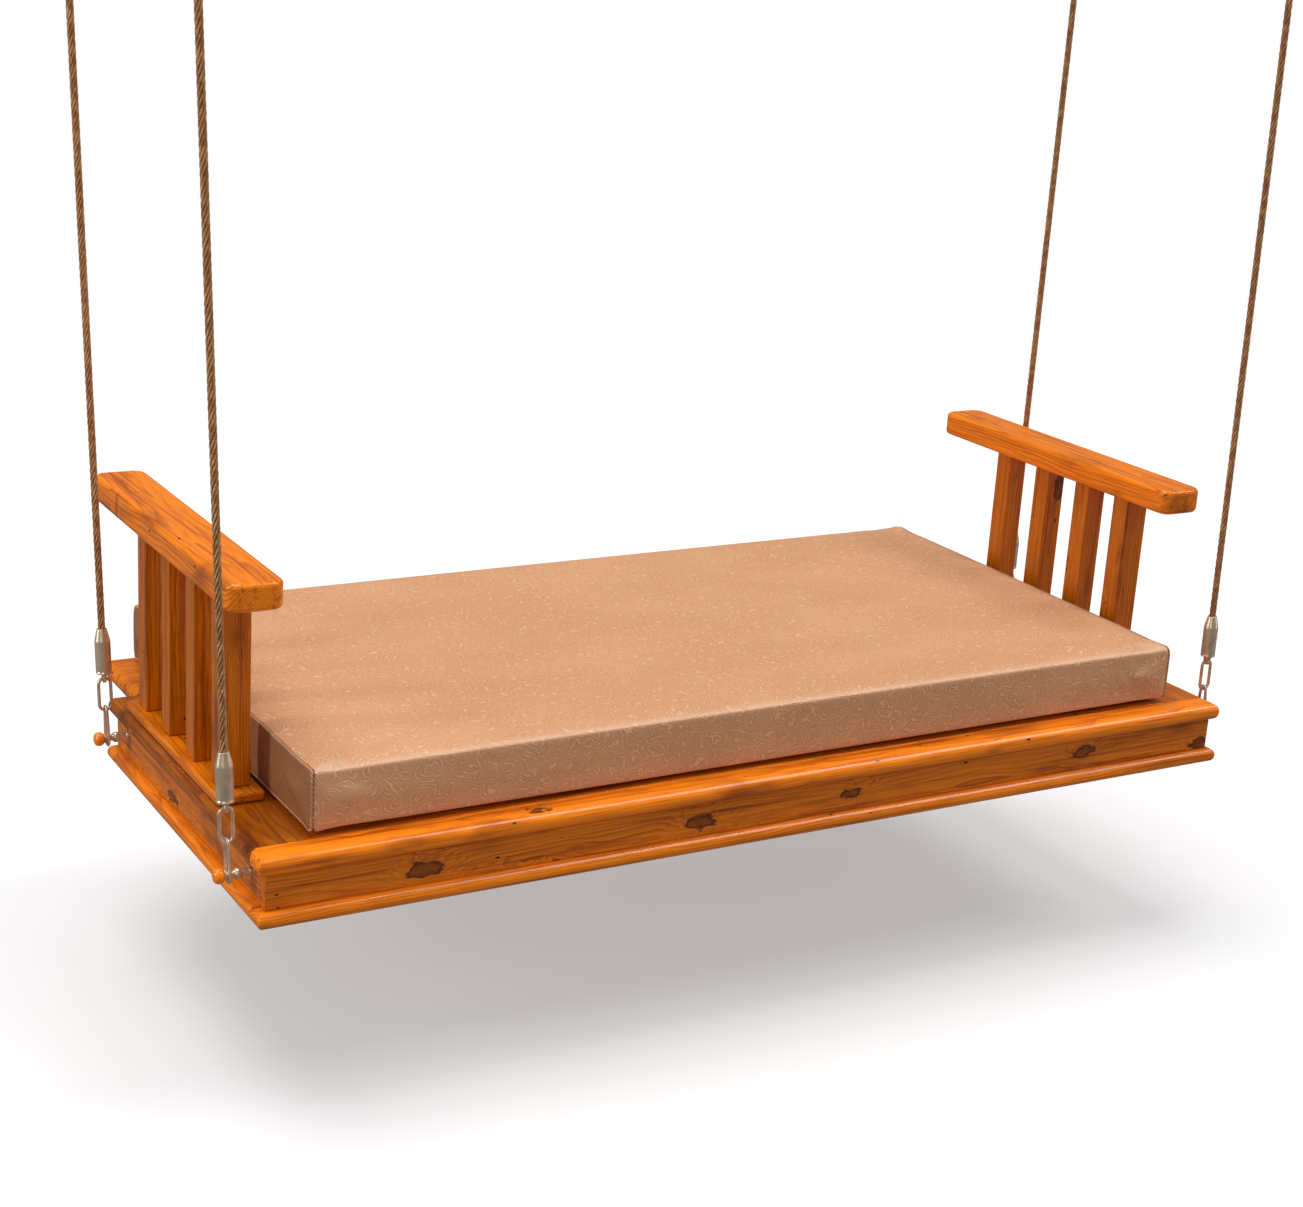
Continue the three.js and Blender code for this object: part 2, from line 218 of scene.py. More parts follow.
def rounded(profile, radius, steps=3):
    """The profile with each inner corner replaced by a small arc-like curve."""
    result = [profile[0]]
    for before, here, after in zip(profile, profile[1:], profile[2:]):
        a = Vector(before) - Vector(here)
        b = Vector(after) - Vector(here)
        cut = min(radius, a.length * 0.45, b.length * 0.45)
        start = Vector(here) + a.normalized() * cut
        end = Vector(here) + b.normalized() * cut
        for i in range(steps + 1):
            t = i / steps
            mixed = start * (1 - t) ** 2 + Vector(here) * 2 * t * (1 - t) + end * t * t
            result.append(tuple(mixed))
    result.append(profile[-1])
    return result


def swept(name, path, place, loop, sides=16):
    """A bar swept along a flat path of (u, v, half_width, half_thickness)."""
    rings = []
    count = len(path)
    for i, (u, v, wide, thick) in enumerate(path):
        before = path[(i - 1) % count] if loop else path[max(i - 1, 0)]
        after = path[(i + 1) % count] if loop else path[min(i + 1, count - 1)]
        along = Vector((after[0] - before[0], after[1] - before[1])).normalized()
        ring = []
        for j in range(sides):
            angle = 2 * math.pi * j / sides
            across = wide * math.cos(angle)
            ring.append(place(u - along.y * across, v + along.x * across, thick * math.sin(angle)))
        rings.append(ring)
    points, faces = loft(rings, loop)
    return mesh_object(name, points, faces)


def finished(obj, body, material, node):
    """Gives a piece its material, parents it to its body's empty, and hides the CAD node it stands for."""
    obj.data.materials.clear()
    obj.data.materials.append(material)
    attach(obj, body)
    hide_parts(node)
    return obj


# ---- material graphs ----
class Graph:
    """A material's node tree, with short calls for adding nodes."""

    def __init__(self, name):
        self.material = bpy.data.materials.new(name)
        self.material.use_nodes = True
        self.tree = self.material.node_tree
        self.tree.nodes.clear()

    def add(self, kind, inputs=None, **settings):
        node = self.tree.nodes.new("ShaderNode" + kind)
        for key, value in settings.items():
            setattr(node, key, value)
        for key, value in (inputs or {}).items():
            if isinstance(value, bpy.types.NodeSocket):
                self.tree.links.new(value, node.inputs[key])
            else:
                node.inputs[key].default_value = value
        return node

    def math(self, operation, a, b=0.0, c=0.0):
        return self.add("Math", {0: a, 1: b, 2: c}, operation=operation).outputs[0]

    def scaled(self, vector, x, y, z):
        return self.add("VectorMath", {0: vector, 1: (x, y, z)}, operation="MULTIPLY").outputs[0]

    def plus(self, a, b):
        return self.add("VectorMath", {0: a, 1: b}, operation="ADD").outputs[0]

    def noise(self, vector, detail=2.0, roughness=0.5, output="Fac"):
        inputs = {"Vector": vector, "Scale": 1.0, "Detail": detail, "Roughness": roughness}
        return self.add("TexNoise", inputs).outputs[output]

    def cells(self, vector, feature="F1"):
        inputs = {"Vector": vector, "Scale": 1.0, "Randomness": 1.0}
        return self.add("TexVoronoi", inputs, feature=feature, voronoi_dimensions="3D")

    def attribute(self, name, output):
        return self.add("Attribute", attribute_name=name).outputs[output]

    def shine(self, value):
        """A grey of that value, to multiply a colour by."""
        return self.add("CombineXYZ", {0: value, 1: value, 2: value}).outputs[0]

    def pick(self, cells):
        """A random number for each cell."""
        return self.add("SeparateColor", {"Color": cells.outputs["Color"]}).outputs[0]

    def smooth(self, value, low, high, to_low=0.0, to_high=1.0):
        inputs = {"Value": value, "From Min": low, "From Max": high, "To Min": to_low, "To Max": to_high}
        return self.add("MapRange", inputs, interpolation_type="SMOOTHSTEP").outputs[0]

    def linear(self, value, low, high, to_low=0.0, to_high=1.0):
        inputs = {"Value": value, "From Min": low, "From Max": high, "To Min": to_low, "To Max": to_high}
        return self.add("MapRange", inputs).outputs[0]

    def mix(self, factor, a, b, blend="MIX"):
        node = self.add("Mix", data_type="RGBA", blend_type=blend)
        for socket, value in ((node.inputs["Factor"], factor), (node.inputs[6], a), (node.inputs[7], b)):
            if isinstance(value, bpy.types.NodeSocket):
                self.tree.links.new(value, socket)
            else:
                socket.default_value = value
        return node.outputs[2]

    def ramp(self, value, stops):
        node = self.add("ValToRGB", {"Fac": value})
        elements = node.color_ramp.elements
        while len(elements) < len(stops):
            elements.new(0.5)
        for element, (position, colour) in zip(elements, stops):
            element.position = position
            element.color = colour
        return node.outputs[0]

    def bump(self, height, distance, strength=1.0, normal=None):
        inputs = {"Height": height, "Distance": distance, "Strength": strength}
        if normal is not None:
            inputs["Normal"] = normal
        return self.add("Bump", inputs).outputs[0]

    def surface(self, **inputs):
        shader = self.add("BsdfPrincipled", {key.replace("_", " "): value for key, value in inputs.items()})
        output = self.add("OutputMaterial")
        self.tree.links.new(shader.outputs[0], output.inputs["Surface"])
        return self.material


def rgb(r, g, b):
    return (r, g, b, 1.0)


def wood_material():
    """Varnished knotty softwood with solid growth rings, which curve on the faces and close on the ends."""
    g = Graph("varnished_wood")
    grain = g.attribute("grain", "Vector")
    tone = g.attribute("tone", "Fac")
    knotty = g.attribute("knotty", "Fac")

    # Knots, long ovals scattered along the board.
    wobble = g.noise(g.scaled(grain, 40.0, 80.0, 80.0), 3.0, 0.6)
    cell = g.cells(g.scaled(grain, 7.0, 15.0, 15.0))
    away = g.math("MULTIPLY_ADD", wobble, 0.34, g.math("SUBTRACT", cell.outputs["Distance"], 0.17))
    chosen = g.math("LESS_THAN", g.pick(cell), knotty)
    knot = g.math("MULTIPLY", g.smooth(away, 0.22, 0.19), chosen)
    rim = g.math("MULTIPLY", g.smooth(away, 0.25, 0.20), chosen)
    rim = g.math("MULTIPLY", rim, g.smooth(away, 0.14, 0.19))
    bulge = g.math("MULTIPLY", g.smooth(away, 0.62, 0.1), chosen)

    # Growth rings about a wandering pith, pushed aside by the knots.
    drift = g.noise(g.scaled(grain, 1.7, 9.0, 9.0), 3.0, 0.55, "Color")
    drift = g.scaled(g.plus(drift, (-0.5, -0.5, -0.5)), 0.0, 0.042, 0.042)
    section = g.plus(g.scaled(grain, 0.0, 1.0, 1.0), drift)
    radius = g.add("VectorMath", {0: section}, operation="LENGTH").outputs["Value"]
    radius = g.math("MULTIPLY_ADD", bulge, 0.014, radius)
    wander = g.noise(g.scaled(grain, 9.0, 40.0, 40.0), 3.0, 0.6)
    phase = g.math("MULTIPLY_ADD", wander, 0.7, g.math("MULTIPLY", radius, 200.0))
    late = g.ramp(g.math("FRACT", phase), [
        (0.0, rgb(0.0, 0.0, 0.0)),
        (0.5, rgb(0.12, 0.12, 0.12)),
        (0.85, rgb(0.75, 0.75, 0.75)),
        (0.94, rgb(1.0, 1.0, 1.0)),
        (1.0, rgb(0.0, 0.0, 0.0)),
    ])
    strength = g.linear(g.noise(g.scaled(grain, 3.0, 30.0, 30.0), 2.0), 0.35, 0.65, 0.15, 0.9)
    late = g.math("MULTIPLY", late, strength)

    # Colour: pale and dark wood, dark streaks along the grain, and brown patches of stain.
    fibre = g.noise(g.scaled(grain, 11.0, 420.0, 420.0), 4.0, 0.65)
    streak = g.noise(g.scaled(grain, 2.4, 85.0, 85.0), 3.0, 0.6)
    blotch = g.noise(g.scaled(grain, 4.5, 13.0, 13.0), 3.0, 0.6)
    early_wood = rgb(0.92, 0.232, 0.004)
    late_wood = rgb(0.42, 0.068, 0.001)
    streak_wood = rgb(0.35, 0.052, 0.001)
    stained_wood = rgb(0.24, 0.035, 0.001)
    colour = g.mix(late, early_wood, late_wood)
    colour = g.mix(g.smooth(streak, 0.48, 0.80), colour, streak_wood)
    colour = g.mix(g.smooth(blotch, 0.53, 0.78, 0.0, 0.8), colour, stained_wood)
    lift = g.math("MULTIPLY", g.linear(fibre, 0.3, 0.7, 0.74, 1.20), tone)
    colour = g.mix(1.0, colour, g.shine(lift), "MULTIPLY")

    heart = g.noise(g.scaled(grain, 60.0, 120.0, 120.0), 3.0)
    knot_colour = g.mix(g.smooth(heart, 0.35, 0.7), rgb(0.14, 0.030, 0.002), rgb(0.27, 0.062, 0.003))
    colour = g.mix(g.math("MULTIPLY", knot, 0.85), colour, knot_colour)
    colour = g.mix(g.math("MULTIPLY", rim, 0.75), colour, rgb(0.065, 0.016, 0.002))

    # Pin holes and short dark checks.
    pit_cell = g.cells(g.scaled(grain, 26.0, 58.0, 58.0))
    pit_pick = g.math("GREATER_THAN", g.pick(pit_cell), 0.88)
    pit = g.math("MULTIPLY", g.smooth(pit_cell.outputs["Distance"], 0.15, 0.10), pit_pick)
    colour = g.mix(pit, colour, rgb(0.03, 0.008, 0.002))

    hand = g.noise(g.scaled(grain, 9.0, 60.0, 60.0), 2.0)
    normal = g.bump(hand, 0.0010, 0.30)
    dips = g.math("SUBTRACT", g.math("MULTIPLY", fibre, 0.4), g.math("ADD", late, pit))
    normal = g.bump(dips, 0.00025, 0.5, normal)
    return g.surface(
        Base_Color=colour,
        Roughness=g.linear(fibre, 0.3, 0.7, 0.34, 0.48),
        Normal=normal,
        Specular_IOR_Level=0.12,
        Coat_Weight=0.65,
        Coat_Roughness=0.14,
        Coat_IOR=1.5,
    )


def leatherette_material(name, darken):
    """Tan coated cloth with an embossed crinkle of fine nested curves, a painted highlight along the long
    edges and painted shade on the end panels.
    """
    g = Graph(name)

    def tan(r, green, b):
        return rgb(r * darken, green * darken, b * darken)

    # The crinkle: broken lines that run side by side round irregular cells.
    place = g.add("TexCoord").outputs["Object"]
    kink = g.noise(g.scaled(place, 45.0, 45.0, 45.0), 1.0, 0.5, "Color")
    kink = g.scaled(g.plus(kink, (-0.5, -0.5, -0.5)), 0.030, 0.030, 0.030)
    cell = g.cells(g.scaled(g.plus(place, kink), 24.0, 24.0, 24.0), "DISTANCE_TO_EDGE")
    curve = g.math("FRACT", g.math("MULTIPLY", cell.outputs["Distance"], 6.0))
    curve = g.math("ABSOLUTE", g.math("SUBTRACT", curve, 0.5))
    ridge = g.smooth(curve, 0.17, 0.02)
    valley = g.math("MULTIPLY", g.smooth(curve, 0.16, 0.28), g.smooth(curve, 0.45, 0.32))
    broken = g.noise(g.scaled(place, 50.0, 50.0, 50.0), 2.0)
    broken = g.smooth(broken, 0.36, 0.54)
    ridge = g.math("MULTIPLY", ridge, broken)
    valley = g.math("MULTIPLY", valley, broken)

    pore = g.noise(g.scaled(place, 800.0, 800.0, 800.0), 2.0)
    cloud = g.noise(g.scaled(place, 4.0, 6.0, 6.0), 3.0)
    colour = g.mix(g.smooth(cloud, 0.3, 0.7), tan(0.635, 0.312, 0.152), tan(0.69, 0.350, 0.180))
    layers = [
        (ridge, 0.50, tan(0.95, 0.60, 0.37)),
        (valley, 0.16, tan(0.45, 0.195, 0.085)),
        # A painted highlight: the cover is lighter along its four long rounded edges, where light catches
        # them.
        (g.attribute("fold", "Fac"), 0.55, tan(0.95, 0.62, 0.43)),
        # Painted shade: the end panels are darkened to stand in for the shade that falls on the cushion's
        # ends.
        (g.attribute("panel", "Fac"), 0.80, tan(0.24, 0.080, 0.022)),
    ]
    for mask, amount, layer in layers:
        colour = g.mix(g.math("MULTIPLY", mask, amount), colour, layer)
    colour = g.mix(1.0, colour, g.shine(g.linear(pore, 0.3, 0.7, 0.94, 1.05)), "MULTIPLY")
    relief = g.math("MULTIPLY_ADD", pore, 0.10, g.math("SUBTRACT", ridge, valley))
    return g.surface(
        Base_Color=colour,
        Roughness=g.linear(ridge, 0.0, 1.0, 0.50, 0.40),
        Normal=g.bump(relief, 0.0008, 0.45),
        Specular_IOR_Level=0.35,
    )


def thread_material():
    """Dark brown waxed thread with a fine twist."""
    g = Graph("thread")
    place = g.add("TexCoord").outputs["Object"]
    twist = g.noise(g.scaled(place, 900.0, 900.0, 900.0), 2.0)
    colour = g.mix(twist, rgb(0.09, 0.040, 0.020), rgb(0.19, 0.095, 0.050))
    return g.surface(Base_Color=colour, Roughness=0.6, Normal=g.bump(twist, 0.0002, 0.5))


def rope_material():
    """Weathered bronze-brown wire strand. "lay" holds turns round a strand, metres along, and height."""
    g = Graph("wire_rope")
    parts = g.add("SeparateXYZ", {0: g.attribute("lay", "Vector")})
    wires = 7
    wire = g.math("SINE", g.math("MULTIPLY", parts.outputs[0], 2 * math.pi * wires))
    wire = g.linear(wire, -1.0, 1.0)
    place = g.add("TexCoord").outputs["Object"]
    wear = g.noise(g.scaled(place, 90.0, 90.0, 60.0), 3.0, 0.6)
    colour = g.mix(g.smooth(wear, 0.35, 0.68), rgb(0.57, 0.225, 0.078), rgb(0.95, 0.54, 0.235))
    # Painted shade: the colour darkens in the grooves between the strands and in the gaps between the wires,
    # where shade falls.
    depth = parts.outputs[2]
    colour = g.mix(g.smooth(depth, 0.7, 0.05), colour, rgb(0.100, 0.031, 0.008))
    colour = g.mix(g.smooth(wire, 0.35, 0.0, 0.0, 0.5), colour, rgb(0.16, 0.07, 0.03))
    return g.surface(
        Base_Color=colour,
        Metallic=0.35,
        Roughness=g.linear(wear, 0.3, 0.7, 0.52, 0.38),
        Normal=g.bump(wire, 0.0004, 0.8),
    )


def steel_material():
    """Satin stainless steel with warm smudges and fine level lines, as from a lathe."""
    g = Graph("brushed_steel")
    place = g.add("TexCoord").outputs["Object"]
    line = g.noise(g.scaled(place, 90.0, 90.0, 1400.0), 3.0, 0.6)
    smudge = g.noise(g.scaled(place, 60.0, 60.0, 40.0), 3.0, 0.6)
    colour = g.mix(g.smooth(smudge, 0.35, 0.7), rgb(0.98, 0.785, 0.575), rgb(0.7448, 0.55735, 0.3795))
    roughness = g.math("MULTIPLY_ADD", line, 0.22, g.linear(smudge, 0.3, 0.7, 0.16, 0.28))
    return g.surface(
        Base_Color=colour,
        Metallic=0.72,
        Roughness=roughness,
        Normal=g.bump(line, 0.00012, 0.5),
    )


# ---- camera, light and floor ----
def camera():
    """A 62 mm lens, front and left of the deck, looking 31 degrees right and 17 down with a slight roll."""
    yaw = math.radians(-30.86)
    pitch = math.radians(-17.48)
    roll = math.radians(3.63)
    forward = Vector((math.sin(-yaw) * math.cos(pitch), math.cos(-yaw) * math.cos(pitch), math.sin(pitch)))
    level = Vector((math.cos(-yaw), -math.sin(-yaw), 0.0))
    lift = level.cross(forward)
    right = math.cos(roll) * level + math.sin(roll) * lift
    up = -math.sin(roll) * level + math.cos(roll) * lift
    turn = Matrix((right, up, -forward)).transposed().to_4x4()
    data = bpy.data.cameras.new("camera")
    data.sensor_width = 36.0
    data.lens = 62.41
    data.clip_end = 300.0
    obj = bpy.data.objects.new("camera", data)
    obj.matrix_world = Matrix.Translation((-2.14365, -3.43709, -0.23571)) @ turn
    bpy.context.scene.collection.objects.link(obj)
    bpy.context.scene.camera = obj


def area_light(name, place, target, size, watts, reflected=True):
    """A soft box aimed at a point, which shows in reflections unless told not to."""
    data = bpy.data.lights.new(name, "AREA")
    data.shape = "RECTANGLE"
    data.size, data.size_y = size
    data.energy = watts
    obj = bpy.data.objects.new(name, data)
    obj.visible_glossy = reflected
    aim = (Vector(target) - Vector(place)).to_track_quat("-Z", "Y")
    obj.matrix_world = Matrix.Translation(place) @ aim.to_matrix().to_4x4()
    bpy.context.scene.collection.objects.link(obj)


def sun_light(name, travel, strength, spread):
    """A distant round light whose rays travel that way, spread degrees wide."""
    data = bpy.data.lights.new(name, "SUN")
    data.energy = strength
    data.angle = math.radians(spread)
    obj = bpy.data.objects.new(name, data)
    obj.matrix_world = Vector(travel).to_track_quat("-Z", "Y").to_matrix().to_4x4()
    bpy.context.scene.collection.objects.link(obj)


def room():
    """An even white room: full strength to the camera, and dimmer as light and in reflections."""
    world = bpy.data.worlds.new("room")
    world.use_nodes = True
    tree = world.node_tree
    tree.nodes.clear()
    rays = tree.nodes.new("ShaderNodeLightPath")
    level = ROOM_LEVEL
    for name, change in (("Is Camera Ray", 1.0 - ROOM_LEVEL), ("Is Glossy Ray", ROOM_REFLECTED - ROOM_LEVEL)):
        add = tree.nodes.new("ShaderNodeMath")
        add.operation = "MULTIPLY_ADD"
        tree.links.new(rays.outputs[name], add.inputs[0])
        add.inputs[1].default_value = change
        if isinstance(level, float):
            add.inputs[2].default_value = level
        else:
            tree.links.new(level, add.inputs[2])
        level = add.outputs[0]
    back = tree.nodes.new("ShaderNodeBackground")
    output = tree.nodes.new("ShaderNodeOutputWorld")
    tree.links.new(level, back.inputs["Strength"])
    tree.links.new(back.outputs[0], output.inputs["Surface"])
    back.inputs["Color"].default_value = (1.0, 1.0, 1.0, 1.0)
    bpy.context.scene.world = world


def lights():
    """A broad light overhead, one from the upper right for the highlights, and soft boxes all round."""
    sun_light("overhead", (0.12, -0.14, -0.98), 1.85, 38)
    sun_light("highlight", (-0.54, 0.25, -0.80), 1.0, 26)
    centre = (0.0, 0.0, -1.5)
    area_light("front_left", (-3.6, -3.6, 0.2), centre, (1.4, 2.2), 27)
    area_light("left", (-4.6, 0.8, -0.4), centre, (0.5, 2.6), 55)
    area_light("right", (4.4, -2.6, -0.9), centre, (0.6, 2.6), 14)
    area_light("back_left", (-2.6, 4.4, -0.6), centre, (1.4, 2.2), 12, reflected=False)
    area_light("back_right", (3.4, 3.8, -0.8), centre, (1.2, 2.2), 9, reflected=False)


def pale_floor():
    """A floor that only the camera sees, and only from above."""
    size = FLOOR_HALF
    points = [(-size, -size, FLOOR_Z), (size, -size, FLOOR_Z), (size, size, FLOOR_Z), (-size, size, FLOOR_Z)]
    floor = mesh_object("studio_floor", points, [(0, 1, 2, 3)])
    g = Graph("floor")
    grit = g.noise(g.scaled(g.add("TexCoord").outputs["Object"], 30.0, 30.0, 30.0), 2.0)
    colour = g.mix(grit, rgb(0.590, 0.573, 0.570), rgb(0.585, 0.568, 0.565))
    from_below = g.add("NewGeometry").outputs["Backfacing"]
    floor.data.materials.append(g.surface(
        Base_Color=colour,
        Alpha=g.math("SUBTRACT", 1.0, from_below),
        Roughness=0.9,
        Specular_IOR_Level=0.0,
        Emission_Color=rgb(0.94, 0.99, 1.0),
        Emission_Strength=0.35,
    ))
    floor.visible_glossy = False
    floor.visible_diffuse = False


def studio():
    bpy.context.scene.view_settings.view_transform = "Standard"
    room()
    lights()
    pale_floor()


# ---- hangers ----
def hanger_place(key):
    """The matrix from a hanger's local millimetres, up its line from the pin's axis, to the row frame."""
    side, back, lean = CORNERS[key]
    rise = BAR_Z_MM - PIN_Z_MM
    foot = Vector((side * PIN_X_MM, back * PIN_Y_MM, PIN_Z_MM)) * MM
    tilt = Matrix.Rotation(math.atan2(lean, rise), 4, "Y")
    return Matrix.Translation(foot) @ tilt @ Matrix.Scale(MM, 4)


def hanger_span(key):
    return math.hypot(BAR_Z_MM - PIN_Z_MM, CORNERS[key][2])


def ferrule(name, place, hole_r, lug_r, hole_below):
    """A swaged end fitting: bead and cap at the foot, body, cone and rope socket, and a lug with a hole."""
    profile = rounded([
        (0.6, 0.0), (10.0, 0.0), (13.4, 0.9), (14.6, 3.2), (13.4, 5.6), (13.0, 6.5), (14.0, 7.6),
        (14.0, 62.0), (13.6, 64.2), (8.8, FERRULE_LENGTH), (6.8, FERRULE_LENGTH),
        (6.8, FERRULE_LENGTH - SOCKET_DEPTH), (0.6, FERRULE_LENGTH - SOCKET_DEPTH),
    ], 0.7)
    body = turned(name, profile, place)
    lug = lug_plate(name + ".lug", place, hole_r, lug_r, -hole_below)
    combine(body, lug, "UNION")
    shade(body, 32)
    return flat_faces_flat(body)


def lug_plate(name, place, hole_r, lug_r, centre):
    """A 5 mm plate in the local YZ plane, round below, with a bevelled edge and hole."""
    steps = 40
    half = 2.5
    bevel = 0.7
    outer = []
    inner = []
    for i in range(steps):
        angle = 2 * math.pi * i / steps
        y, z = math.cos(angle), math.sin(angle)
        inner.append((y, z))
        if z <= 0:
            outer.append((y * lug_r, z * lug_r))
        else:
            reach = 3.0 - centre
            stretch = min(lug_r / max(abs(y), 1e-6), reach / max(z, 1e-6))
            outer.append((y * stretch, z * stretch))
    layers = []
    for grow, x in ((-bevel, -half), (0.0, -half + bevel), (0.0, half - bevel), (-bevel, half)):
        ring = []
        for y, z in outer:
            size = math.hypot(y, z)
            ring.append((x, y * (size + grow) / size, centre + z * (size + grow) / size))
        layers.append(ring)
    for grow, x in ((bevel, half), (0.0, half - bevel), (0.0, -half + bevel), (bevel, -half)):
        layers.append([(x, y * (hole_r + grow), centre + z * (hole_r + grow)) for y, z in inner])
    points, faces = loft([[place @ Vector(point) for point in ring] for ring in layers], loop=True)
    return mesh_object(name, points, faces)


def wire_rope(key, place, material):
    """Six strands laid to the right round a core, as one lobed tube, taut from socket to socket."""
    end = hanger_span(key) - ROPE_STOP
    strand_r = ROPE_R / 3
    centre_r = ROPE_R - strand_r
    per_strand = 8
    sides = STRANDS * per_strand
    count = round((end - ROPE_START) / 4.5)
    rings = []
    lay = []
    for i in range(count + 1):
        z = ROPE_START + (end - ROPE_START) * i / count
        twist = 2 * math.pi * z / ROPE_LAY
        ring = []
        for j in range(sides):
            across = (j % per_strand - per_strand / 2) / per_strand
            swing = across * 2 * math.pi / STRANDS
            radius = centre_r * math.cos(swing) + math.sqrt(
                max(0.0, strand_r**2 - (centre_r * math.sin(swing)) ** 2)
            )
            angle = 2 * math.pi * j / sides + twist
            ring.append(place @ Vector((radius * math.cos(angle), radius * math.sin(angle), z)))
            low = centre_r * math.cos(math.pi / STRANDS)
            lay.append((across - z / 40, z * MM, (radius - low) / (ROPE_R - low)))
        rings.append(ring)
    points, faces = loft(rings)
    rope = mesh_object("strand_rope_" + key, points, faces, 180)
    attribute = rope.data.attributes.new("lay", "FLOAT_VECTOR", "POINT")
    attribute.data.foreach_set("vector", [value for item in lay for value in item])
    finished(rope, "rope_line_" + key, material, "rope_" + key)
    route = []
    for i in range(16):
        z = ROPE_START + (end - ROPE_START) * i / 15
        route.append(tuple(place @ Vector((0.0, 0.0, z))))
    return rope, route, (end - ROPE_START) * MM


def oval_link(key, place):
    """A chain link that stands in the local XZ plane, with the swell of its butt weld on one flank."""
    path = []
    half = 11.0
    wire_r = 3.0
    weld = 0.35

    def arc(v, start):
        for i in range(19):
            angle = start + math.pi * i / 18
            path.append((half * math.cos(angle), v + half * math.sin(angle), wire_r, wire_r))

    def flank(u, v0, v1):
        for i in range(1, 12):
            t = i / 12
            swell = weld * math.exp(-(((t - 0.5) * 14) ** 2)) if u > 0 else 0.0
            path.append((u, v0 + (v1 - v0) * t, wire_r + swell, wire_r + swell))

    arc(LINK_HIGH - half, 0)
    flank(-half, LINK_HIGH - half, LINK_LOW + half)
    arc(LINK_LOW + half, math.pi)
    flank(half, LINK_LOW + half, LINK_HIGH - half)
    return swept("oval_link_" + key, path, lambda u, v, off: place @ Vector((u, -off, v)), True)


def eye_link(key, place):
    """A long link in the local YZ plane whose lower end is forged into a broad flat eye for the pin."""
    path = []
    bend_r, wire_r = 6.5, 2.7
    eye_r, eye_wide, eye_thick = 10.9, 4.6, 2.5
    top = 61.3 - bend_r

    def arc(v, radius, start, wide, thick):
        for i in range(21):
            angle = start + math.pi * i / 20
            path.append((radius * math.cos(angle), v + radius * math.sin(angle), wide, thick))

    def flank(u0, v0, u1, v1, w0, w1, t0, t1):
        for i in range(1, 12):
            t = i / 12
            eased = t * t * (3 - 2 * t)
            wide = w0 + (w1 - w0) * eased
            thick = t0 + (t1 - t0) * eased
            path.append((u0 + (u1 - u0) * t, v0 + (v1 - v0) * t, wide, thick))

    arc(top, bend_r, 0, wire_r, wire_r)
    flank(-bend_r, top, -eye_r, 0, wire_r, eye_wide, wire_r, eye_thick)
    arc(0, eye_r, math.pi, eye_wide, eye_thick)
    flank(eye_r, 0, bend_r, top, eye_wide, wire_r, eye_thick, wire_r)
    return swept("eye_link_" + key, path, lambda u, v, off: place @ Vector((off, u, v)), True)


def pin_place(key):
    """The matrix from a pin's local millimetres, outward from the end apron's face, to the row frame."""
    side, back, _ = CORNERS[key]
    face = Vector((side * APRON_FACE_MM, back * PIN_Y_MM, PIN_Z_MM)) * MM
    return Matrix.Translation(face) @ Matrix.Rotation(side * math.pi / 2, 4, "Y") @ Matrix.Scale(MM, 4)


def pin(key):
    """The through pin: hexagon nut inside, flange, neck, ball, eye seat, washer and stub."""
    place = pin_place(key)
    ball_r = 9.5
    ball_z = 22
    shaft = [
        (0.6, -29.5), (4.8, -29.5), (5.5, -28.8), (5.5, 0.3), (8.0, 0.3), (8.0, 3.0), (6.5, 4.0), (6.5, 14.0),
    ]
    ball = []
    for degrees in range(43, 146, 6):
        angle = math.radians(degrees)
        ball.append((ball_r * math.sin(angle), ball_z - ball_r * math.cos(angle)))
    head = [(5.5, 31.0), (5.5, 41.6), (8.5, 41.6), (8.5, 45.0), (3.6, 45.0), (3.6, 54.0), (0.6, 54.0)]
    obj = turned("bolt_" + key, rounded(shaft, 0.5) + ball + rounded(head, 0.5), place)
    flats = rounded([(6.2, -28.3), (8.6, -28.3), (9.0, -27.4), (9.0, -19.3), (6.2, -19.3)], 0.4)
    nut = turned("nut_" + key, flats, place, sides=6, sharp=25)
    combine(obj, nut, "UNION")
    shade(obj, 32)
    return flat_faces_flat(obj)


def knob(key):
    """A turned wooden knob on the pin's stub."""
    profile = rounded([
        (0.6, 54.4), (3.9, 54.4), (3.9, 45.4), (8.5, 45.4), (11.0, 47.0), (12.3, 50.0), (12.6, 54.0),
        (11.6, 58.6), (8.0, 61.4), (3.5, 62.3), (0.6, 62.4),
    ], 1.5)
    obj = turned("turned_knob_" + key, profile, pin_place(key))
    return flat_faces_flat(obj)


def ceiling_plate(key):
    """A plate with a welded staple and four countersunk screw heads."""
    side, back, lean = CORNERS[key]
    middle = Vector((side * PIN_X_MM + lean, back * PIN_Y_MM, 0.0)) * MM
    place = Matrix.Translation(middle) @ Matrix.Scale(MM, 4)
    low, high = Vector((-45.0, -30.0, -8.0)), Vector((45.0, 30.0, 0.0))
    points, faces = board_parts(low, high, 8.0, 1.0, "lrfb")
    plate = mesh_object("top_plate_" + key, [place @ Vector(point) for point in points], faces)
    half, bend, wire = 22.0, 8.0, 5.0
    path = [(-half, -5.0, wire, wire)]
    for u, start in ((-half + bend, 180), (half - bend, 270)):
        for i in range(9):
            angle = math.radians(start + 90 * i / 8)
            path.append((u + bend * math.cos(angle), BAR_Z_MM + bend + bend * math.sin(angle), wire, wire))
    path.append((half, -5.0, wire, wire))
    staple = swept("staple", path, lambda u, v, off: place @ Vector((u, -off, v)), False, 24)
    combine(plate, staple, "UNION")
    for x in (-36, 36):
        for y in (-20, 20):
            recess = screw_recess(place @ Matrix.Translation((x, y, 0)))
            combine(plate, recess, "DIFFERENCE")
    shade(plate, 32)
    return flat_faces_flat(plate)


